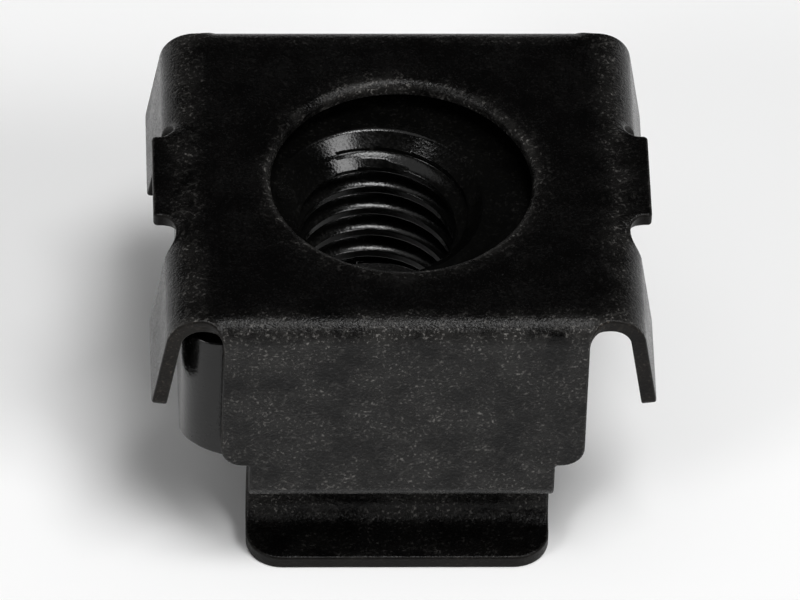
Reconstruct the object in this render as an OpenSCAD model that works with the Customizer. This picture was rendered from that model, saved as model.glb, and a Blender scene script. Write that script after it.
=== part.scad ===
// Rack cage nut for a 10-32 screw: a square nut that floats in a folded
// spring steel cage. Millimetres. Z is up, X runs from flange to flange,
// Y runs from leg to leg, and the part stands on the lips of its two legs.

/* [Sheet] */
// Thickness of the cage's sheet
sheet_t = 0.4; // [0.3:0.05:0.6]
// Diameter of the clearance hole in the top plate
plate_hole_d = 6.9; // [5:0.1:7.6]
// Width of each tab, along Y
tab_w = 3; // [2:0.1:4]
// How far a tab reaches past the line where the flanges bend
tab_reach = 1.22; // [0.9:0.02:1.6]

/* [Nut] */
// Width across the flats
nut_af = 10.55; // [9.6:0.05:11]
// Thickness of the nut
nut_t = 5; // [4:0.05:6]
// Radius of the nut's upright corners
nut_corner_r = 1; // [0.4:0.1:2]
// Angle of the cone that trims the nut's lower corners
nut_cone_deg = 30; // [15:1:35]
// How far inside the flats that cone meets the nut's underside
nut_cone_in = 0.1; // [0.05:0.05:0.5]
// Wall diameter of the threaded hole
thread_d = 4.1; // [3.9:0.05:4.2]
// Diameter of the countersink at each end of the hole
sink_d = 5.55; // [5:0.05:6]
// Angle of the countersink's wall from the horizontal
sink_deg = 45; // [30:1:60]

/* [Running room] */
// Room above the nut, under the top plate
nut_room_top = 0.6; // [0.2:0.05:1]
// Clearance between the nut and the folds that carry it
nut_clear = 0.04; // [0.02:0.01:0.2]
// Clearance between the nut and the inside of each leg
nut_leg_clear = 0.075; // [0.03:0.005:0.3]
// Free play of the nut to each side of the middle, up to a flange
nut_play = 0.62; // [0.3:0.01:1]
// Clearance left where the nut lies against the flanges on -X
nut_side_clear = 0.05; // [0.02:0.01:0.2]

/* [Leg] */
// Outside radius of the bend from the plate into a leg
leg_bend_r = 0.6; // [0.45:0.05:0.9]
// Height of the shoulders over the underside of the foot fold
shoulder_rise = 1.34; // [0.9:0.02:2]
// Radius of the rounded shoulders
shoulder_r = 0.6; // [0.2:0.05:0.7]
// Radius in the corner between shoulder and neck
shoulder_fillet_r = 0.1; // [0.05:0.01:0.15]
// Outside radius of the bend at the foot of a leg
fold_bend_r = 0.55; // [0.45:0.05:0.8]
// Width of the round relief between a leg and a flange
relief_w = 0.55; // [0.3:0.05:0.8]

/* [Neck] */
// Width of the neck and of its lip, along X
neck_w = 8.04; // [7.4:0.02:8.3]
// Depth over the outer faces of the two necks, along Y
neck_span = 7.8; // [7.2:0.1:8.2]
// Inside radius of the bend from the fold into the neck
neck_bend_r = 0.15; // [0.1:0.05:0.3]
// Drop from the fold's underside to the centre of the lip's bend
neck_drop = 1.82; // [1.4:0.02:2.6]
// Inside radius of the bend from the neck into the lip
lip_bend_r = 0.54; // [0.2:0.02:0.7]
// Slope of the lip below the horizontal
lip_slope = 2; // [0:1:15]
// How far a lip reaches out past its neck
lip_reach = 1.56; // [1:0.02:1.8]
// Radius of the lip's corners
lip_corner_r = 0.95; // [0.3:0.05:1.2]

/* [Flange] */
// Outside radius of the bend from the plate into a flange
flange_bend_r = 0.95; // [0.6:0.05:1.1]
// Flare of a flange from the vertical
flange_flare = 9; // [4:1:15]
// Depth of a flange below the top of the plate
flange_drop = 3.13; // [2:0.01:3.6]
// Setback of a flange's outer end from the face of the leg
flange_setback = 0.3; // [0.2:0.05:0.6]
// Radius of the flange's lower corners
flange_corner_r = 0.2; // [0.1:0.05:0.6]
// Width of the notch between a tab and a flange
notch_w = 0.8; // [0.5:0.05:1.2]
// Distance from the flange's bend line to the inner end of the notch
notch_in = 0.62; // [0.4:0.02:0.7]

/* [Hidden] */
$fn = 96;
eps = 0.01;
over = 1;
nut_half = nut_af / 2;
neck_y = neck_span / 2;
neck_x = neck_w / 2;
leg_y = nut_half + nut_leg_clear + sheet_t;
lip_y = neck_y + lip_reach;
// inside radii, and the outside radii of the bends below the fold
leg_bend_in = leg_bend_r - sheet_t;
fold_bend_in = fold_bend_r - sheet_t;
flange_bend_in = flange_bend_r - sheet_t;
neck_bend_out = neck_bend_r + sheet_t;
lip_bend_out = lip_bend_r + sheet_t;
// the lip's length, and its fall from the bend's centre to the floor
lip_len = (lip_reach - lip_bend_r * (1 - sin(lip_slope))) / cos(lip_slope);
lip_z = lip_len * sin(lip_slope) + lip_bend_out * cos(lip_slope);
// levels, from the floor up
fold_z = lip_z + neck_drop;
nut_z = fold_z + sheet_t + nut_clear;
plate_z = nut_z + nut_t + nut_room_top;
top_z = plate_z + sheet_t;
shoulder_z = fold_z + shoulder_rise;
flange_z = top_z - flange_drop;
// flange: the bend line is set so that the nut has its play at its top edge
bend_mid_z = top_z - flange_bend_r;
bend_end_z = bend_mid_z + flange_bend_in * sin(flange_flare);
nut_top_out = (bend_end_z - nut_z - nut_t) * tan(flange_flare);
flange_in_x = flange_bend_in * cos(flange_flare) + nut_top_out;
flange_line = nut_half + nut_play - flange_in_x;
flange_y = tab_w / 2 + notch_w;
flange_end = leg_y - flange_setback;
tab_x = flange_line + tab_reach;
notch_y = (tab_w + notch_w) / 2;
notch_x = flange_line + notch_in;
leg_x = flange_line - relief_w;
nut_x = nut_side_clear - nut_play;
// relief: the arc runs from the flange's end to the leg's edge, where the
// outside of the leg's bend leaves the plate's thickness
bend_drop_y = sqrt(pow(leg_bend_r, 2) - pow(leg_bend_r - sheet_t, 2));
relief_h = leg_y - leg_bend_r + bend_drop_y - flange_end;
relief_r = (pow(relief_w, 2) + pow(relief_h, 2)) / (2 * relief_h);
// countersink
sink_h = (sink_d - thread_d) / 2 * tan(sink_deg);

// The children, and their mirror image across X = 0
module both_x() {
    children();
    mirror([1, 0, 0]) children();
}

// The children, and their mirror image across Y = 0
module both_y() {
    children();
    mirror([0, 1, 0]) children();
}

// The children, and their mirror image across Z = 0
module both_z() {
    children();
    mirror([0, 0, 1]) children();
}

// Ring between two radii, the part of it in the quadrant (sx, sy)
module quarter(r_in, r_out, sx, sy) {
    intersection() {
        difference() {
            circle(r = r_out);
            circle(r = r_in);
        }
        translate([sx < 0 ? -r_out - over : 0, sy < 0 ? -r_out - over : 0])
            square(r_out + over);
    }
}

// What a round corner of radius r leaves off, its centre at the origin
module corner_cut(r) {
    difference() {
        square(r + over);
        circle(r = r);
    }
}

// Extrude a Y-Z section along X, centred
module along_x(w) {
    translate([-w / 2, 0, 0])
        rotate([90, 0, 90])
            linear_extrude(w)
                children();
}

// Extrude an X-Z outline along Y from y0 to y1
module along_y(y0, y1) {
    translate([0, y1, 0])
        rotate([90, 0, 0])
            linear_extrude(y1 - y0)
                children();
}

// Outside of the plate and its two leg bends, filled, in Y and Z
module leg_envelope() {
    translate([-leg_y, 0])
        square([2 * leg_y, top_z - leg_bend_r]);
    translate([-leg_y + leg_bend_r, 0])
        square([2 * (leg_y - leg_bend_r), top_z]);
    both_x()
        translate([leg_y - leg_bend_r, top_z - leg_bend_r])
            circle(r = leg_bend_r);
}

// Section of a leg in Y and Z, from the plate to the foot of its neck
module leg_section() {
    translate([leg_y - leg_bend_r, top_z - leg_bend_r])
        quarter(leg_bend_in, leg_bend_r, 1, 1);
    translate([leg_y - leg_bend_r - over, plate_z])
        square([over + eps, sheet_t]);
    translate([leg_y - sheet_t, fold_z + fold_bend_r - eps])
        square([sheet_t, top_z - leg_bend_r - fold_z - fold_bend_r + 2 * eps]);
    translate([leg_y - fold_bend_r, fold_z + fold_bend_r])
        quarter(fold_bend_in, fold_bend_r, 1, -1);
    translate([neck_y + neck_bend_r - eps, fold_z])
        square([leg_y - fold_bend_r - neck_y - neck_bend_r + 2 * eps, sheet_t]);
    translate([neck_y + neck_bend_r, fold_z - neck_bend_r])
        quarter(neck_bend_r, neck_bend_out, -1, 1);
    translate([neck_y - sheet_t, lip_z])
        square([sheet_t, fold_z - neck_bend_r - lip_z + eps]);
}

// Section of the bend into the lip, and of the lip
module lip_section() {
    translate([neck_y - sheet_t, lip_z - eps])
        square([sheet_t, 2 * eps]);
    translate([neck_y + lip_bend_r, lip_z]) {
        intersection() {
            difference() {
                circle(r = lip_bend_out);
                circle(r = lip_bend_r);
            }
            translate([-lip_bend_out - over, -lip_bend_out - over])
                square([lip_bend_out + 2 * over, lip_bend_out + over]);
            rotate(-lip_slope)
                translate([-2 * lip_bend_out - over, -2 * lip_bend_out])
                    square([2 * lip_bend_out + over, 4 * lip_bend_out]);
        }
        rotate(-lip_slope)
            translate([-eps, -lip_bend_out])
                square([lip_len + eps, sheet_t]);
    }
}

// Front view of a leg, wide above its shoulders and narrow below them
module leg_outline() {
    difference() {
        translate([-leg_x, shoulder_z])
            square([2 * leg_x, top_z - shoulder_z + over]);
        both_x()
            translate([leg_x - shoulder_r, shoulder_z + shoulder_r])
                rotate(-90)
                    corner_cut(shoulder_r);
    }
    translate([-neck_x, 0])
        square([neck_w, shoulder_z + over]);
    both_x()
        translate([neck_x, shoulder_z])
            difference() {
                translate([-eps, -shoulder_fillet_r])
                    square([shoulder_fillet_r + eps, shoulder_fillet_r + eps]);
                translate([shoulder_fillet_r, -shoulder_fillet_r])
                    circle(r = shoulder_fillet_r);
            }
}

// Plan of the lip with its two round corners
module lip_plan() {
    difference() {
        translate([-neck_x, 0])
            square([neck_w, lip_y]);
        both_x()
            translate([neck_x - lip_corner_r, lip_y - lip_corner_r])
                corner_cut(lip_corner_r);
    }
}

// One leg with its fold, neck and lip, on the +Y side
module leg() {
    intersection() {
        along_x(2 * leg_x) leg_section();
        along_y(0, leg_y + over) leg_outline();
    }
    intersection() {
        along_x(neck_w) lip_section();
        linear_extrude(lip_z + over) lip_plan();
    }
}

// Outside of the plate and its two flange bends, filled, in X and Z
module flange_envelope() {
    translate([-flange_line, 0])
        square([2 * flange_line, top_z]);
    both_x()
        translate([flange_line, bend_mid_z])
            circle(r = flange_bend_r);
}

// Plan of the plate where it is rounded down into flanges and legs
module plate_plan() {
    translate([-leg_x, -leg_y])
        square([2 * leg_x, 2 * leg_y]);
    translate([-notch_x - over, -flange_end])
        square([2 * (notch_x + over), 2 * flange_end]);
    both_x()
        both_y()
            translate([leg_x - eps, flange_end - eps])
                difference() {
                    square([relief_w + eps, leg_y - flange_end]);
                    translate([relief_w + eps, relief_r + eps])
                        circle(r = relief_r);
                }
}

// Slot between a tab and a flange, round at its inner end
module notch_plan() {
    translate([notch_x + notch_w / 2, notch_y])
        circle(r = notch_w / 2);
    translate([notch_x + notch_w / 2, notch_y - notch_w / 2])
        square([tab_reach + over, notch_w]);
}

// The top plate with its tabs, notches and clearance hole
module plate() {
    difference() {
        intersection() {
            translate([0, 0, plate_z])
                linear_extrude(sheet_t + over)
                    plate_plan();
            along_x(2 * (tab_x + over)) leg_envelope();
            along_y(-leg_y - over, leg_y + over) flange_envelope();
        }
        notches();
        clearance_hole();
    }
    difference() {
        translate([-tab_x, -notch_y, plate_z])
            cube([2 * tab_x, 2 * notch_y, sheet_t]);
        notches();
        clearance_hole();
    }
}

module notches() {
    translate([0, 0, plate_z - over])
        linear_extrude(sheet_t + 2 * over)
            both_x()
                both_y()
                    notch_plan();
}

module clearance_hole() {
    translate([0, 0, plate_z - over])
        cylinder(d = plate_hole_d, h = sheet_t + 2 * over);
}

// Section of the bend into a flange, and of the flange, on the +X side
module flange_section() {
    translate([flange_line, bend_mid_z]) {
        intersection() {
            difference() {
                circle(r = flange_bend_r);
                circle(r = flange_bend_in);
            }
            translate([0, -over])
                square(flange_bend_r + 2 * over);
            rotate(flange_flare)
                square(2 * flange_bend_r + over);
        }
        rotate(flange_flare)
            translate([flange_bend_in, -flange_drop * 2])
                square([sheet_t, flange_drop * 2 + eps]);
    }
    translate([flange_line - over, plate_z])
        square([over + eps, sheet_t]);
}

// Side view of a flange, with round lower corners
module flange_side() {
    difference() {
        translate([flange_y, flange_z])
            square([flange_end - flange_y, flange_drop + over]);
        translate([flange_y + flange_corner_r, flange_z + flange_corner_r])
            rotate(180)
                corner_cut(flange_corner_r);
        translate([flange_end - flange_corner_r, flange_z + flange_corner_r])
            rotate(-90)
                corner_cut(flange_corner_r);
    }
}

// One of the four flanges, on the +X and +Y side
module flange() {
    intersection() {
        along_y(flange_y, flange_end) flange_section();
        along_x(4 * tab_x) flange_side();
        along_x(4 * tab_x) leg_envelope();
    }
}

module cage() {
    color([0.04, 0.04, 0.04]) {
        plate();
        both_y() leg();
        both_x() both_y() flange();
    }
}

// Cone that trims the nut's lower corners, wide end up
module corner_cone() {
    rise = nut_half * tan(nut_cone_deg);
    foot_r = nut_half - nut_cone_in;
    cylinder(r1 = foot_r, r2 = foot_r + nut_half, h = rise);
    translate([0, 0, rise - eps])
        cylinder(r = 2 * nut_half, h = nut_t);
}

module nut_plan() {
    difference() {
        square([nut_af, nut_af], center = true);
        both_x()
            both_y()
                translate([nut_half - nut_corner_r, nut_half - nut_corner_r])
                    corner_cut(nut_corner_r);
    }
}

// Countersink above the middle of the nut, run on past its face
module sink() {
    deep = sink_h + over;
    translate([0, 0, nut_t / 2 - sink_h])
        cylinder(r1 = thread_d / 2, r2 = thread_d / 2 + deep / tan(sink_deg), h = deep);
}

module nut() {
    color([0.07, 0.07, 0.07])
        translate([nut_x, 0, nut_z])
            difference() {
                intersection() {
                    linear_extrude(nut_t) nut_plan();
                    corner_cone();
                }
                translate([0, 0, -over])
                    cylinder(d = thread_d, h = nut_t + 2 * over);
                translate([0, 0, nut_t / 2])
                    both_z()
                        sink();
            }
}

cage();
nut();
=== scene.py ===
import math

import bpy
import numpy as np
from mathutils import Matrix, Vector
from mathutils.geometry import delaunay_2d_cdt

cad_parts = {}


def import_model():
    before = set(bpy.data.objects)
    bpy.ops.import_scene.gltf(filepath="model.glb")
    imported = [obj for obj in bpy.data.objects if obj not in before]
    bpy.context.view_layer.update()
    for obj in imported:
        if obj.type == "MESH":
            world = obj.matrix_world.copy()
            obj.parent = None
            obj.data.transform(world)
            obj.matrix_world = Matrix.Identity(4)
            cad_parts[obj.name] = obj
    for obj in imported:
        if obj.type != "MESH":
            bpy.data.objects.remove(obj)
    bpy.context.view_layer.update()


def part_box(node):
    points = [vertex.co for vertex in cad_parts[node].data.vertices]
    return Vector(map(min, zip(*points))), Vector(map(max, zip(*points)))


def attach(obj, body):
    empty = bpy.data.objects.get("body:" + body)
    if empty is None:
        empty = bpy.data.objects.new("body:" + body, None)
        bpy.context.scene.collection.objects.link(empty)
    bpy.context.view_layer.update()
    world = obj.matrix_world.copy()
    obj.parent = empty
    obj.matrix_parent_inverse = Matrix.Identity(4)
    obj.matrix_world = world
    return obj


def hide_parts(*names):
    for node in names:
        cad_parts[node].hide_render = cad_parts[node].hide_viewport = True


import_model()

MM = 0.001
Q = math.pi / 2               # a quarter turn
_, cage_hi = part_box("cage")
nut_lo, nut_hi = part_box("nut")

# ------------------------------------------------------------------- sizes, mm
TOP = cage_hi.z / MM          # top face of the plate
LEG_Y = cage_hi.y / MM        # outer face of a leg
NUT_T = (nut_hi.z - nut_lo.z) / MM
NUT_Z = nut_lo.z / MM
NUT_X = (nut_lo.x + nut_hi.x) / 2 / MM
NUT_H = (nut_hi.x - nut_lo.x) / 2 / MM

# the sheet and its plate
T = 0.4                       # sheet thickness
HT = T / 2
MID = TOP - HT                # middle of the plate's thickness
HOLE_R = 3.45                 # the plate's round hole
LINE = 5.33                   # where the flanges start to bend

# a tab, and the notch beside it
TAB_X = LINE + 1.22
TAB_Y = 1.5
TAB_R = 0.12                  # rounding of its corners
NOTCH_W = 0.8
NOTCH_X = LINE + 0.62         # inner end of the notch

# a flange
FLG_Y0 = TAB_Y + NOTCH_W
FLG_Y1 = LEG_Y - 0.3
FLG_DROP = 3.13               # how far its end lies below the plate's top
FLG_R = 0.2                   # rounding of its corners
FLARE = math.radians(9)       # its lean from upright
FLARE_R = 0.95                # outside radius of its bend

# a leg, from the plate down to the lip
RELIEF_R = 0.55               # corner relief between leg and flange
LEG_X = LINE - RELIEF_R
PLATE_R = 0.6                 # outside radius of the bend at the plate
Y0 = LEG_Y - PLATE_R          # where that bend starts
SEAT = 0.04                   # clearance under the nut
FOLD_Z = NUT_Z - SEAT - T     # underside of the fold below the nut
FOLD_R = 0.55                 # outside radius of the bend into the fold
SHOULDER_UP = 1.34            # how far above the fold's underside the leg narrows
SHOULDER_R = 0.6
NOOK_R = 0.1                  # inner corner where shoulder and neck meet
NECK_R = 0.15                 # inside radius of the bend into the neck
NECK_X = 4.02
NECK_Y = 3.9                  # outer face of the neck
LIP_R = 0.54                  # inside radius of the bend into the lip
LIP_SLOPE = math.radians(2)
LIP_REACH = 1.56              # from the neck's outer face to the lip's end
LIP_CORNER_R = 0.95
LIP_LEN = (LIP_REACH - LIP_R * (1 - math.sin(LIP_SLOPE))) / math.cos(LIP_SLOPE)
# where the neck ends and the bend into the lip starts
LIP_Z = LIP_LEN * math.sin(LIP_SLOPE) + (LIP_R + T) * math.cos(LIP_SLOPE)


class Path:
    """The middle line of a section, made of arcs and straights.

    It starts level at (across, level), and its length is counted from the
    part's middle, so that length and place agree on the plate."""

    def __init__(self, across, level):
        self.segs = []
        self.s = across
        self.p = np.array((across, level), float)
        self.a = 0.0

    def straight(self, length):
        self.segs.append((self.s, length, self.p.copy(), self.a, 0.0))
        self.p = self.p + length * np.array([math.cos(self.a), math.sin(self.a)])
        self.s += length
        return self

    def arc(self, radius, angle):
        length = radius * abs(angle)
        k = angle / length
        self.segs.append((self.s, length, self.p.copy(), self.a, k))
        end = self.a + angle
        self.p = self.p + np.array([math.sin(end) - math.sin(self.a),
                                    -math.cos(end) + math.cos(self.a)]) / k
        self.a = end
        self.s += length
        return self

    def at(self, s):
        """Places at the lengths s; past the end the last run goes on."""
        s = np.asarray(s, float)
        out = np.zeros(s.shape + (2,))
        for i, (s0, length, p, a, k) in enumerate(self.segs):
            last = i == len(self.segs) - 1
            m = (s >= s0) & ((s <= s0 + length) | last)
            d = s[m] - s0
            if k == 0:
                out[m] = p + d[:, None] * np.array([math.cos(a), math.sin(a)])
            else:
                end = a + k * d
                out[m] = p + np.stack([np.sin(end) - math.sin(a),
                                       -np.cos(end) + math.cos(a)], -1) / k
        return out

    def lines(self, flat, fine):
        """Lengths to put points at: close in the arcs, wide on the straights."""
        out = []
        for s0, length, _, _, k in self.segs:
            n = max(1, round(abs(k) * length / fine) if k else round(length / flat))
            out += [s0 + length * i / n for i in range(n)]
        return out + [self.s]


leg = Path(Y0, MID)
leg.arc(PLATE_R - HT, -Q).straight(TOP - PLATE_R - FOLD_Z - FOLD_R)
leg.arc(FOLD_R - HT, -Q).straight(LEG_Y - FOLD_R - NECK_Y - NECK_R)
leg.arc(NECK_R + HT, Q).straight(FOLD_Z - NECK_R - LIP_Z)
leg.arc(LIP_R + HT, Q - LIP_SLOPE).straight(LIP_LEN)

flange = Path(LINE, MID)
flange.arc(FLARE_R - HT, -(Q - FLARE))
flange.straight((flange.p[1] - (TOP - FLG_DROP)) / math.cos(FLARE))

S_END = leg.s                 # the flat sheet's half sizes
U_END = flange.s
S_SHOULDER = Y0 + (PLATE_R - HT) * Q + (TOP - PLATE_R) - (FOLD_Z + SHOULDER_UP)


def smooth(x):
    """From 0 to 1 with level ends."""
    x = np.clip(x, 0, 1)
    return x * x * (3 - 2 * x)


def fold(u, v):
    """The middle of the sheet, folded: flat pattern (u, v) to X, Y, Z."""
    a, b = np.abs(u), np.abs(v)
    f = flange.at(np.maximum(a, LINE))
    bent = smooth((b - TAB_Y) / NOTCH_W)          # 0 on the tab, 1 on a flange
    x = np.where(a > LINE, a + bent * (f[..., 0] - a), a)
    drop_x = np.where(a > LINE, bent * (f[..., 1] - MID), 0.0)
    g = leg.at(np.maximum(b, Y0))
    bent = smooth((LINE - a) / RELIEF_R)          # 0 on a flange, 1 on a leg
    y = np.where(b > Y0, b + bent * (g[..., 0] - b), b)
    drop_y = np.where(b > Y0, bent * (g[..., 1] - MID), 0.0)
    return np.stack([np.sign(u) * x, np.sign(v) * y, MID + drop_x + drop_y], -1)


def frame_at(u, v):
    """Point, the two directions in the sheet, and the outer normal."""
    step = 1e-4
    tu = fold(u + step, v) - fold(u - step, v)
    tv = fold(u, v + step) - fold(u, v - step)
    tu /= np.linalg.norm(tu, axis=-1, keepdims=True)
    tv /= np.linalg.norm(tv, axis=-1, keepdims=True)
    n = np.cross(tu, tv)
    n /= np.linalg.norm(n, axis=-1, keepdims=True)
    return fold(u, v), tu, tv, n


# --------------------------------------------------------- outline of the sheet
CELLS = 20                    # grid cells from the plate's middle to its bends
FLAT_STEP = 0.3               # grid step on the straights
END_GAP = 0.03                # least step between a mark and a corner
SAME = 1e-4                   # points closer than this are one


def grid_lines(edge, path, fine):
    """Grid lines over half the sheet: even on the plate, then as the path asks."""
    even = [edge * i / CELLS for i in range(CELLS)]
    return sorted(set(even + path.lines(FLAT_STEP, math.radians(fine))))


U_LINES = grid_lines(LINE, flange, 6)
V_LINES = grid_lines(Y0, leg, 7)


def run(p, q, marks, axis):
    """Straight from p to q with a point wherever it crosses a mark."""
    lo, hi = sorted((p[axis], q[axis]))
    ms = [m for m in marks if lo + END_GAP < m < hi - END_GAP]
    if q[axis] < p[axis]:
        ms = ms[::-1]
    t = [0.0] + [(m - p[axis]) / (q[axis] - p[axis]) for m in ms]
    return [(p[0] + (q[0] - p[0]) * k, p[1] + (q[1] - p[1]) * k) for k in t]


def corner(cx, cy, r, a0, a1, n):
    """An arc about (cx, cy) from angle a0 to a1, without its last point."""
    a = [math.radians(a0 + (a1 - a0) * i / n) for i in range(n)]
    return [(cx + r * math.cos(t), cy + r * math.sin(t)) for t in a]


def quadrant():
    """A quarter of the outline, from the tab's end round to the lip's."""
    w = NOTCH_W / 2
    flg_x, flg_y = U_END - FLG_R, FLG_Y1 - FLG_R
    out = run((TAB_X, 0), (TAB_X, TAB_Y - TAB_R), V_LINES, 1)
    out += corner(TAB_X - TAB_R, TAB_Y - TAB_R, TAB_R, 0, 90, 5)
    out += [(TAB_X - TAB_R, TAB_Y)]
    out += corner(NOTCH_X + w, TAB_Y + w, w, 270, 90, 20)
    out += run((NOTCH_X + w, FLG_Y0), (flg_x, FLG_Y0), U_LINES, 0)
    out += corner(flg_x, FLG_Y0 + FLG_R, FLG_R, 270, 360, 6)
    out += run((U_END, FLG_Y0 + FLG_R), (U_END, flg_y), V_LINES, 1)
    out += corner(flg_x, flg_y, FLG_R, 0, 90, 6)
    out += run((flg_x, FLG_Y1), (LINE, FLG_Y1), U_LINES, 0)
    out += corner(LINE, FLG_Y1 + RELIEF_R, RELIEF_R, 270, 180, 12)
    out += run((LEG_X, FLG_Y1 + RELIEF_R), (LEG_X, S_SHOULDER - SHOULDER_R), V_LINES, 1)
    out += corner(LEG_X - SHOULDER_R, S_SHOULDER - SHOULDER_R, SHOULDER_R, 0, 90, 10)
    out += [(LEG_X - SHOULDER_R, S_SHOULDER)]
    out += corner(NECK_X + NOOK_R, S_SHOULDER + NOOK_R, NOOK_R, 270, 180, 5)
    out += run((NECK_X, S_SHOULDER + NOOK_R), (NECK_X, S_END - LIP_CORNER_R), V_LINES, 1)
    out += corner(NECK_X - LIP_CORNER_R, S_END - LIP_CORNER_R, LIP_CORNER_R, 0, 90, 12)
    out += run((NECK_X - LIP_CORNER_R, S_END), (0, S_END), U_LINES, 0)
    return out


def outline():
    """The whole outline: the quarter mirrored twice, each point once."""
    q = quadrant()
    half = q + [(0, S_END)] + [(-x, y) for x, y in q[::-1]]
    loop = half + [(x, -y) for x, y in half[-2:0:-1]]
    keep = [loop[0]]
    for p in loop[1:]:
        if math.dist(p, keep[-1]) > SAME:
            keep.append(p)
    return np.array(keep)


def inward(loop):
    """Unit normals of a closed loop, to the left of its run, mitred."""
    ahead = np.roll(loop, -1, 0) - loop
    n1 = np.stack([-ahead[:, 1], ahead[:, 0]], 1)
    n1 /= np.linalg.norm(ahead, axis=1)[:, None]
    n0 = np.roll(n1, 1, 0)
    n = n0 + n1
    n /= np.linalg.norm(n, axis=1)[:, None]
    return n / np.maximum(0.5, (n * n0).sum(1))[:, None]


def within(pts, loop):
    """Which points lie inside a closed loop."""
    x, y = pts[:, 0][:, None], pts[:, 1][:, None]
    x0, y0 = loop[:, 0][None], loop[:, 1][None]
    x1, y1 = np.roll(loop[:, 0], -1)[None], np.roll(loop[:, 1], -1)[None]
    hit = (y0 > y) != (y1 > y)
    with np.errstate(divide="ignore", invalid="ignore"):
        xs = x0 + (y - y0) * (x1 - x0) / (y1 - y0)
    return (hit & (x < xs)).sum(1) % 2 == 1


def circle(r, start, end, n):
    """n points of a circle, from the angle start towards end."""
    a = np.linspace(start, end, n, endpoint=False)
    return np.stack([r * np.cos(a), r * np.sin(a)], 1)


outer = outline()
hole = circle(HOLE_R, 0, -4 * Q, 144)


# -------------------------------------------------------------- meshes in general
class Shell:
    """A mesh in the making: points, normals, dust with painted highlight, faces and
    their materials.
    """

    def __init__(self):
        self.co, self.no, self.dust_and_highlight = [], [], []
        self.faces, self.mats = [], []

    def add(self, co, no, dust_and_highlight):
        """Add points, and say which number the first one has."""
        start = len(self.co)
        self.co.extend(co)
        self.no.extend(no)
        self.dust_and_highlight.extend(np.broadcast_to(dust_and_highlight, len(co)))
        return start

    def face(self, ids, mat=0):
        self.faces.append([int(i) for i in ids])
        self.mats.append(mat)

    def band(self, a, b, n, mat=0):
        """Quads between two closed rows of n points, which start at a and b."""
        for j in range(n):
            j2 = (j + 1) % n
            self.face((a + j, b + j, b + j2, a + j2), mat)


def make(name, shell, materials, body, node):
    """The shell's used points and its faces, as an object that replaces a node."""
    used = sorted({i for f in shell.faces for i in f})
    new = {old: i for i, old in enumerate(used)}
    co = np.array(shell.co)[used] * MM
    me = bpy.data.meshes.new(name)
    me.from_pydata(co.tolist(), [], [[new[i] for i in f] for f in shell.faces])
    for mt in materials:
        me.materials.append(mt)
    me.polygons.foreach_set("material_index", shell.mats)
    me.polygons.foreach_set("use_smooth", [True] * len(me.polygons))
    me.update()
    # a per-point level of dust, rubbing and painted highlight, read by the materials
    dust_and_highlight = me.attributes.new("dust_and_highlight", "FLOAT", "POINT")
    dust_and_highlight.data.foreach_set("value", np.array(shell.dust_and_highlight)[used])
    me.normals_split_custom_set_from_vertices(np.array(shell.no)[used].tolist())
    ob = bpy.data.objects.new(name, me)
    bpy.context.scene.collection.objects.link(ob)
    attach(ob, body)
    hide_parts(node)


# ------------------------------------------------------------- the cage's mesh
# each edge of the sheet, with its rounding on the outer and on the inner face
EDGES = [(outer, 0.075, 0.05), (hole, 0.26, 0.05)]
ROUND_STEPS = 3               # rows of points over each rounding
HOLE_RINGS = (3.75, 4.1)      # rings of points round the hole, instead of the grid
HOLE_RINGS_END = 4.25
HOLE_RING_N = 96
EDGE_GAP = 0.035              # least distance from a grid point to an edge point
CDT_SAME = 1e-7               # points closer than this meet in the triangulation

WORN_PLATE = 0.05             # dust, rubbing and painted highlight at each place: 1 is the leg's face
# a painted highlight over the bends, with some rubbing there
BEND_HIGHLIGHT_AND_RUB = 0.8
MOUTH_HIGHLIGHT = 0.6              # painted highlight round the edge of the plate's hole
# a painted highlight along the edges' rounding, with some rubbing there
RIM_HIGHLIGHT_AND_RUB = 0.7
WORN_NUT = 0.7
LIP_KEPT = 0.75               # share of the dust and painted highlight that the lip is spared


def near(x, middle, width):
    """1 at the middle, and softly down to 0 on both sides."""
    return np.exp(-(((x - middle) / width) ** 2))


def dust_wear_and_highlight(u, v, rim):
    """How much dust, rubbing and painted highlight the plating has at a place of the
    flat sheet; the highlights are painted over the bends, round the hole and along
    the edges.

    It rises over the bends onto the legs and falls again towards the lips."""
    a, b = np.abs(u), np.abs(v)
    face = WORN_PLATE + (1 - WORN_PLATE) * smooth((b - Y0 + 0.1) / 0.7)
    # bend: a painted highlight, with some rubbing
    bend = near(b, Y0 + 0.3, 0.28) + near(a, LINE + 0.35, 0.35)
    # mouth: a painted highlight round the hole
    mouth = near(np.hypot(u, v), HOLE_R + 0.1, 0.22)
    lip = 1 - LIP_KEPT * smooth((b - (S_END - 1.6)) / 0.3)
    face = face + BEND_HIGHLIGHT_AND_RUB * bend + MOUTH_HIGHLIGHT * mouth
    # rows on an edge's rounding get a painted highlight, with some rubbing
    return face * lip + (RIM_HIGHLIGHT_AND_RUB if rim else 0.0)


def clear(pts, loop):
    """Which points keep their distance from a loop's own points."""
    gaps = [np.linalg.norm(loop - p, axis=1).min() for p in pts]
    return np.array(gaps) > EDGE_GAP


def grid_points(border, mouth):
    """The grid's points on the sheet, with even rings close round the hole."""
    us = sorted({s * x for x in U_LINES for s in (-1, 1)})
    vs = sorted({s * y for y in V_LINES for s in (-1, 1)})
    grid = np.stack(np.meshgrid(us, vs, indexing="ij"), -1).reshape(-1, 2)
    close = np.hypot(grid[:, 0], grid[:, 1]) < HOLE_RINGS_END
    rings = [circle(r, r, r + 4 * Q, HOLE_RING_N) for r in HOLE_RINGS]
    grid = np.concatenate([grid[~close], *rings])
    grid = grid[within(grid, border) & ~within(grid, mouth)]
    return grid[clear(grid, border) & clear(grid, mouth)]


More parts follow.
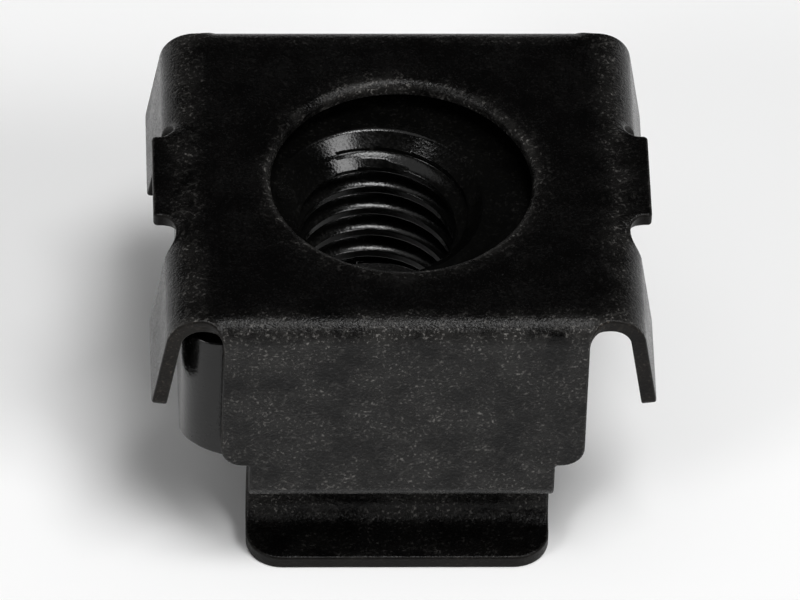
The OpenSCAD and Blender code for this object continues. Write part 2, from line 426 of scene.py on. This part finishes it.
def triangles(border, mouth):
    """The flat sheet in triangles: points, with both edges' first, and corners."""
    n0, n1 = len(border), len(mouth)
    pts = np.concatenate([border, mouth, grid_points(border, mouth)])
    ties = [(i, (i + 1) % n0) for i in range(n0)]
    ties += [(n0 + i, n0 + (i + 1) % n1) for i in range(n1)]
    verts, _, found, origin, _, _ = delaunay_2d_cdt(
        [Vector(p) for p in pts], ties, [], 0, CDT_SAME, True)
    if len(verts) != len(pts) or not all(origin):
        raise RuntimeError("the sheet's outline met itself")
    tris = np.array([[origin[i][0] for i in f] for f in found if len(f) == 3])
    mid = pts[tris].mean(1)
    tris = tris[within(mid, border) & ~within(mid, mouth)]
    a, b, c = (pts[tris[:, i]] for i in range(3))
    area = (b - a)[:, 0] * (c - a)[:, 1] - (b - a)[:, 1] * (c - a)[:, 0]
    tris[area < 0] = tris[area < 0][:, ::-1]
    return pts, tris


def build_cage():
    """Outer and inner face of the folded sheet, and the rolled rims between them."""
    shell = Shell()

    def place(uv, h, tilt, away):
        """Points at height h over the sheet's middle, with normals that lean by
        tilt out of the sheet, from the direction away."""
        p, tu, tv, n = frame_at(uv[:, 0], uv[:, 1])
        no = n * math.sin(tilt)
        no += (tu * away[:, :1] + tv * away[:, 1:]) * math.cos(tilt)
        no /= np.linalg.norm(no, axis=1, keepdims=True)
        # rows on an edge's rounding get the painted edge highlight too
        return shell.add(p + n * h, no, dust_wear_and_highlight(uv[:, 0], uv[:, 1], abs(tilt) < Q))

    edges = [(loop, inward(loop), r_out, r_in) for loop, r_out, r_in in EDGES]
    pts, tris = triangles(*[loop + nm * r_out for loop, nm, r_out, _ in edges])
    inner = np.concatenate([loop + nm * r_in for loop, nm, _, r_in in edges])
    level = np.zeros_like(pts)
    top = place(pts, HT, Q, level)
    for t in tris:
        shell.face(t + top)
    low = place(np.concatenate([inner, pts[len(inner):]]), -HT, -Q, level)
    for t in tris:
        shell.face(t[::-1] + low)

    first = 0
    for loop, nm, r_out, r_in in edges:
        rows = [top + first]
        for side, r, steps in ((1, r_out, range(ROUND_STEPS - 1, -1, -1)),
                               (-1, r_in, range(ROUND_STEPS))):
            for j in steps:
                t = Q * j / ROUND_STEPS
                rows.append(place(loop + nm * r * (1 - math.cos(t)),
                                  side * (HT - r + r * math.sin(t)), side * t, -nm))
        rows.append(low + first)
        for i, (r0, r1) in enumerate(zip(rows[:-1], rows[1:])):
            cut = loop is outer and 1 <= i <= ROUND_STEPS + 1
            shell.band(r0, r1, len(loop), 1 if cut else 0)
        first += len(loop)
    return shell


# -------------------------------------------------------------- the nut's mesh
PITCH = 0.794                 # 32 threads an inch
MINOR = 2.05                  # inner and outer radius of the thread
MAJOR = 2.42
CREST = 0.1                   # half width of a thread's crest
FLANK = (MAJOR - MINOR) * math.tan(math.radians(30))
SAG = 0.06                    # how far a flank bows from straight
START = math.radians(-62)     # where the thread begins round the hole
SINK_R = 2.775                # rim of the 45 degree countersinks
RIM = 0.05                    # depth of their rims' rounding
RIM_OUT = 1.4 * RIM           # its reach outward
CORNER_R = 1.0                # the nut's upright corners
CONE_IN = 0.1                 # lower trim: how far in from the sides it starts
CONE_A = math.radians(30)
EDGE = 0.07                   # rounding of the outer edges
SIDE_N, CORNER_N = 50, 14     # points along a side, and round a corner
SNAP = 0.004                  # thread points this close to an end row join it

# rows of points over one pitch: crest, its edge, flank, and the root's edge
HALF_STEPS = [0, CREST * 0.4, CREST * 0.8, CREST, CREST + 0.015]
HALF_STEPS += [CREST + FLANK * f for f in (0.25, 0.4, 0.55, 0.7, 0.85)]
HALF_STEPS += [CREST + FLANK - 0.012, CREST + FLANK, CREST + FLANK + 0.03]
PITCH_STEPS = sorted([-m for m in HALF_STEPS[1:]] + HALF_STEPS) + [PITCH / 2]


def plan(phi):
    """Reach of the square with round corners, and its outer direction."""
    c, s = np.abs(np.cos(phi)), np.abs(np.sin(phi))
    k = NUT_H - CORNER_R
    flat = NUT_H / np.maximum(c, s)
    b = k * (c + s)
    bow = b + np.sqrt(np.maximum(b * b - 2 * k * k + CORNER_R ** 2, 0))
    at_corner = flat * np.minimum(c, s) > k
    r = np.where(at_corner, bow, flat)
    nx = np.where(at_corner, r * c - k, np.where(c > s, 1, 0))
    ny = np.where(at_corner, r * s - k, np.where(c > s, 0, 1))
    ln = np.hypot(nx, ny)
    return r, np.sign(np.cos(phi)) * nx / ln, np.sign(np.sin(phi)) * ny / ln


def thread_r(phi, z):
    """Reach of the hole's wall: the thread, cut by a countersink at each end."""
    t = z / PITCH - (phi - START) / (4 * Q)
    t = np.abs(t - np.round(t)) * PITCH           # distance from a crest's middle
    f = np.clip((t - CREST) / FLANK, 0, 1)
    f = f - SAG * np.sin(4 * Q * f)
    sink = SINK_R - np.minimum(z - NUT_Z, NUT_Z + NUT_T - z)
    return np.maximum(MINOR + f * (MAJOR - MINOR), sink)


def build_nut():
    """The threaded hole, then rows from its upper rim round to its lower one."""
    shell = Shell()
    k = NUT_H - CORNER_R
    a0, a1 = math.atan2(k, NUT_H), math.atan2(NUT_H, k)
    part = np.concatenate([np.linspace(-a0, a0, SIDE_N, endpoint=False),
                           np.linspace(a0, a1, CORNER_N, endpoint=False)])
    phi = np.concatenate([part + i * Q for i in range(4)])
    n = len(phi)
    cs, sn = np.cos(phi), np.sin(phi)
    wall, *square = plan(phi)
    low, top = NUT_Z, NUT_Z + NUT_T

    def row(r, z, out, up, side=(cs, sn)):
        """A row at reach r and height z; its normals go out along side, and up."""
        r, z, out, up = (np.broadcast_to(v, n) for v in (r, z, out, up))
        return shell.add(np.stack([NUT_X + r * cs, r * sn, z], 1),
                         np.stack([side[0] * out, side[1] * out, up], 1), WORN_NUT)

    def bore(z):
        """A row on the hole's wall, with the wall's own normals."""
        e = 1e-3
        r = thread_r(phi, z)
        dz = (thread_r(phi, z + e) - thread_r(phi, z - e)) / (2 * e)
        dp = (thread_r(phi + e, z) - thread_r(phi - e, z)) / (2 * e)
        m = np.stack([-cs - sn * dp / r, -sn + cs * dp / r, dz], 1)
        m /= np.linalg.norm(m, axis=1, keepdims=True)
        return shell.add(np.stack([NUT_X + r * cs, r * sn, z], 1), m, WORN_NUT)

    # the thread: each row climbs one pitch in a turn, so crests and roots stay
    # sharp, and what lies past an end row is drawn in to it
    z0, z1 = low + RIM, top - RIM
    low_ring = bore(np.full(n, z0))
    top_ring = bore(np.full(n, z1))
    climb = PITCH * (phi - phi[0]) / (4 * Q)
    base = PITCH * (phi[0] - START) / (4 * Q)
    first = math.floor((z0 - base) / PITCH) - 1
    turns = math.ceil((z1 - z0) / PITCH) + 3
    grid = []
    for z in [base + (first + i) * PITCH + t for i in range(turns) for t in PITCH_STEPS]:
        z = z + climb
        ids = bore(np.clip(z, z0, z1)) + np.arange(n)
        ids = np.where(z <= z0 + SNAP, low_ring + np.arange(n), ids)
        grid.append(np.where(z >= z1 - SNAP, top_ring + np.arange(n), ids))
    # a row's end meets the start of the row one pitch above
    rows = [np.append(a, b[0]) for a, b in zip(grid, grid[len(PITCH_STEPS):])]
    for a, b in zip(rows[:-1], rows[1:]):
        for j in range(n):
            ids = list(dict.fromkeys((a[j], b[j], b[j + 1], a[j + 1])))
            if len(ids) > 2 and max(ids) >= 2 * n:
                shell.face(ids)

    def rim(i, face, up):
        """Row i over the rounded rim between a countersink and a face."""
        t = math.radians(45 + 15 * i)
        return row(SINK_R - RIM + (RIM + RIM_OUT) * i / 3,
                   face - up * RIM * (1 - i / 3) ** 2, -math.cos(t), up * math.sin(t))

    # upper rim and face
    inner = SINK_R + RIM_OUT
    rows = [top_ring] + [rim(i, top, 1) for i in (1, 2, 3)]
    for f in (0.2, 0.4, 0.6, 0.8, 1):
        rows.append(row(inner + (wall - EDGE - inner) * f, top, 0, 1))
    # upper edge and side
    for deg in (60, 30, 0):
        t = math.radians(deg)
        rows.append(row(wall - EDGE * (1 - math.cos(t)), top - EDGE * (1 - math.sin(t)),
                        math.cos(t), math.sin(t), square))
    foot = NUT_H - CONE_IN
    z_edge = low + (wall - foot) * math.tan(CONE_A) + EDGE * math.tan(math.radians(30))
    for f in (0.7, 0.4, 0.15):
        rows.append(row(wall, z_edge + (top - EDGE - z_edge) * f, 1, 0, square))
    # lower edge and trim
    for deg in (0, 15, 30, 45, 60):
        t = math.radians(deg)
        rows.append(row(wall - EDGE * (1 - math.cos(t)), z_edge - EDGE * math.sin(t),
                        math.cos(t), -math.sin(t), square))
    r_out = wall - EDGE / 2
    for f in (0.33, 0.66, 1):
        r = r_out + (foot - r_out) * f
        rows.append(row(r, low + (r - foot) * math.tan(CONE_A),
                        math.sin(CONE_A), -math.cos(CONE_A)))
    # lower face and rim
    for f in (0.02, 0.35, 0.7, 1):
        rows.append(row(foot + (inner - foot) * f, low, 0, -1))
    rows += [rim(i, low, -1) for i in (2, 1)] + [low_ring]
    for a, b in zip(rows[:-1], rows[1:]):
        shell.band(a, b, n)
    return shell


# ------------------------------------------------------------------- materials
PEEL = 14000                  # noise cells a metre: the coating's grain, 0.07 mm
SPECKS = 11000                # grains of dust
SCRATCHES = 6500              # across them; they are ten times as long
CLOUDS = 900                  # where dust gathers
LONG = 0.1


def material(name, base, dust_and_highlight_colour, rough, spec, grain, bump):
    """Near-black plated steel: orange-peel gloss, dust, scratches, rubbing on edges,
    and painted highlights.

    The mesh's per-point value says how much dust, rubbing and painted highlight
    each place has. grain is how much of that shows, and bump is the depth of the
    coating's grain in metres."""
    m = bpy.data.materials.new(name)
    m.use_nodes = True
    nt = m.node_tree
    nd, ln = nt.nodes, nt.links
    p = nd["Principled BSDF"]
    p.inputs["Metallic"].default_value = 0.0
    p.inputs["Specular IOR Level"].default_value = spec
    co = nd.new("ShaderNodeTexCoord")

    def noise(scale, detail, stretch=(1, 1, 1), lean=(0, 0, 0)):
        mp = nd.new("ShaderNodeMapping")
        mp.vector_type = "TEXTURE"                # turns first, then scales
        mp.inputs["Scale"].default_value = [1 / (scale * v) for v in stretch]
        mp.inputs["Rotation"].default_value = lean
        ln.new(co.outputs["Object"], mp.inputs["Vector"])
        t = nd.new("ShaderNodeTexNoise")
        t.inputs["Scale"].default_value = 1.0
        t.inputs["Detail"].default_value = detail
        t.inputs["Roughness"].default_value = 0.6
        ln.new(mp.outputs["Vector"], t.inputs["Vector"])
        return t.outputs["Fac"]

    def ramp(src, lo, hi, a, b):
        """src from lo to hi becomes a to b."""
        r = nd.new("ShaderNodeMapRange")
        ends = {"From Min": lo, "From Max": hi, "To Min": a, "To Max": b}
        for key, val in ends.items():
            r.inputs[key].default_value = val
        ln.new(src, r.inputs["Value"])
        return r.outputs["Result"]

    def maths(op, a, b):
        r = nd.new("ShaderNodeMath")
        r.operation = op
        for i, v in enumerate((a, b)):
            if isinstance(v, (int, float)):
                r.inputs[i].default_value = v
            else:
                ln.new(v, r.inputs[i])
        return r.outputs[0]

    at = nd.new("ShaderNodeAttribute")
    at.attribute_name = "dust_and_highlight"
    dust_and_highlight = at.outputs["Fac"]
    peel = noise(PEEL, 2)
    specks = noise(SPECKS, 3)
    clouds = noise(CLOUDS, 4)
    upright = noise(SCRATCHES, 3, (1, 1, LONG), (0.35, 0.45, 0))
    level = noise(SCRATCHES, 3, (LONG, 1, 1), (0, 0.3, 0.5))

    # where the plating shows dust, rubbing and painted highlight, and how much
    dust = maths("MULTIPLY", ramp(specks, 0.57, 0.72, 0, 1),
                 ramp(clouds, 0.38, 0.62, 0.06, 1))
    lines = maths("MAXIMUM", ramp(upright, 0.6, 0.78, 0, 1),
                  ramp(level, 0.6, 0.78, 0, 1))
    haze = ramp(clouds, 0.35, 0.7, 0, 0.1)
    dust_and_highlight_mix = maths("ADD", maths("ADD", dust, maths("MULTIPLY", lines, 0.2)), haze)
    # scaled by the mesh's per-point value, which paints the highlights in too
    dust_and_highlight_mix = maths("MULTIPLY", maths("MULTIPLY", dust_and_highlight_mix, dust_and_highlight), grain)
    mix = nd.new("ShaderNodeMix")
    mix.data_type = "RGBA"
    mix.inputs["A"].default_value = (*base, 1)
    mix.inputs["B"].default_value = (*dust_and_highlight_colour, 1)
    ln.new(dust_and_highlight_mix, mix.inputs["Factor"])
    ln.new(mix.outputs["Result"], p.inputs["Base Color"])

    # the gloss varies in patches and from grain to grain, and places the mix lightens
    # are duller
    gloss = ramp(clouds, 0.3, 0.7, rough - 0.05, rough + 0.07)
    gloss = maths("ADD", gloss, ramp(peel, 0.4, 0.65, -0.05, 0.07))
    ln.new(maths("ADD", gloss, maths("MULTIPLY", dust_and_highlight_mix, 0.3)), p.inputs["Roughness"])

    height = maths("ADD", peel, maths("MULTIPLY", clouds, 0.8))
    height = maths("SUBTRACT", height, maths("MULTIPLY", lines, 0.12))
    bp = nd.new("ShaderNodeBump")
    bp.inputs["Strength"].default_value = 1.0
    bp.inputs["Distance"].default_value = bump
    ln.new(height, bp.inputs["Height"])
    ln.new(bp.outputs["Normal"], p.inputs["Normal"])
    return m


# light tones mixed in: dust and bare metal on edges, and painted highlights too
DUST_AND_HIGHLIGHT = (0.13, 0.125, 0.118)
RUBBED_EDGE_AND_HIGHLIGHT = (0.1, 0.085, 0.07)
plating = material("black_plating", (0.0011, 0.001, 0.001), DUST_AND_HIGHLIGHT,
                   rough=0.25, spec=0.15, grain=1.0, bump=2.2e-5)
sheared = material("sheared_edge", (0.0025, 0.0022, 0.0019), RUBBED_EDGE_AND_HIGHLIGHT,
                   rough=0.42, spec=0.12, grain=0.3, bump=1.2e-5)
nut_black = material("nut_plating", (0.0012, 0.0012, 0.0011), DUST_AND_HIGHLIGHT,
                     rough=0.16, spec=0.32, grain=0.12, bump=6e-6)

make("cage_sheet", build_cage(), [plating, sheared], "cage", "cage")
make("nut_threaded", build_nut(), [nut_black], "nut", "nut")

# -------------------------------------------------------- camera, floor, light
CAM_TURN = math.radians(-3.206)
CAM_RISE = math.radians(44.829)
CAM_ROLL = math.radians(-2.211)
CAM_DIST = 348.5              # mm, from the point that it looks at
CAM_RIGHT = -0.03987          # mm, that point, across and up from the plate's middle
CAM_UP = -3.28421
SENSOR = 36
VIEW_W = 800 / 38             # mm that the picture takes in there, 38 pixels a mm
FLOOR_HALF = 1.2              # metres
AIM = Vector((0, 0, 0.004))   # what the lamps point at


def camera():
    back = Vector((math.sin(CAM_TURN) * math.cos(CAM_RISE),
                   -math.cos(CAM_TURN) * math.cos(CAM_RISE), math.sin(CAM_RISE)))
    right = Vector((math.cos(CAM_TURN), math.sin(CAM_TURN), 0))
    up = back.cross(right)
    across = right * math.cos(CAM_ROLL) - up * math.sin(CAM_ROLL)
    above = right * math.sin(CAM_ROLL) + up * math.cos(CAM_ROLL)
    aim = Vector((0, 0, TOP)) + across * CAM_RIGHT + above * CAM_UP
    cam = bpy.data.cameras.new("camera")
    cam.sensor_width = SENSOR
    cam.lens = SENSOR * CAM_DIST / VIEW_W
    cam.clip_start, cam.clip_end = 0.01, 5
    ob = bpy.data.objects.new("camera", cam)
    m = Matrix((across, above, back)).transposed().to_4x4()
    m.translation = (aim + back * CAM_DIST) * MM
    ob.matrix_world = m
    bpy.context.scene.collection.objects.link(ob)
    bpy.context.scene.camera = ob


def floor():
    me = bpy.data.meshes.new("floor")
    h = FLOOR_HALF
    me.from_pydata([(-h, -h, 0), (h, -h, 0), (h, h, 0), (-h, h, 0)], [], [(0, 1, 2, 3)])
    m = bpy.data.materials.new("floor")
    m.use_nodes = True
    p = m.node_tree.nodes["Principled BSDF"]
    p.inputs["Base Color"].default_value = (0.95, 0.95, 0.95, 1)
    p.inputs["Roughness"].default_value = 0.9
    p.inputs["Specular IOR Level"].default_value = 0.1
    me.materials.append(m)
    ob = bpy.data.objects.new("floor", me)
    bpy.context.scene.collection.objects.link(ob)


def lamp(name, place, size, power):
    """A rectangular lamp that points at the part: metres and watts."""
    li = bpy.data.lights.new(name, "AREA")
    li.shape = "RECTANGLE"
    li.size, li.size_y = size
    li.energy = power
    ob = bpy.data.objects.new(name, li)
    ob.location = place
    ob.rotation_euler = (AIM - Vector(place)).to_track_quat("-Z", "Y").to_euler()
    bpy.context.scene.collection.objects.link(ob)


def world():
    """White at the horizon, nearly black above it."""
    w = bpy.data.worlds.new("studio")
    bpy.context.scene.world = w
    w.use_nodes = True
    nd, ln = w.node_tree.nodes, w.node_tree.links
    bg = nd["Background"]
    co = nd.new("ShaderNodeTexCoord")
    sep = nd.new("ShaderNodeSeparateXYZ")
    ln.new(co.outputs["Generated"], sep.inputs[0])
    r = nd.new("ShaderNodeValToRGB")
    r.color_ramp.interpolation = "EASE"
    el = r.color_ramp.elements
    el[0].position, el[0].color = 0.03, (1, 1, 1, 1)
    el[1].position, el[1].color = 0.14, (0.02, 0.02, 0.02, 1)
    ln.new(sep.outputs["Z"], r.inputs["Fac"])
    ln.new(r.outputs["Color"], bg.inputs["Color"])
    bg.inputs["Strength"].default_value = 1.0


camera()
floor()
world()
bpy.context.scene.view_settings.view_transform = "Standard"
lamp("overhead", (0.1, -0.14, 0.57), (0.24, 0.15), 1.95)
lamp("right", (0.34, -0.34, 0.42), (0.22, 0.22), 1.45)
lamp("left", (-0.42, -0.36, 0.3), (0.16, 0.16), 0.85)
lamp("canopy", (0.0, -0.1, 0.95), (0.9, 0.7), 1.6)
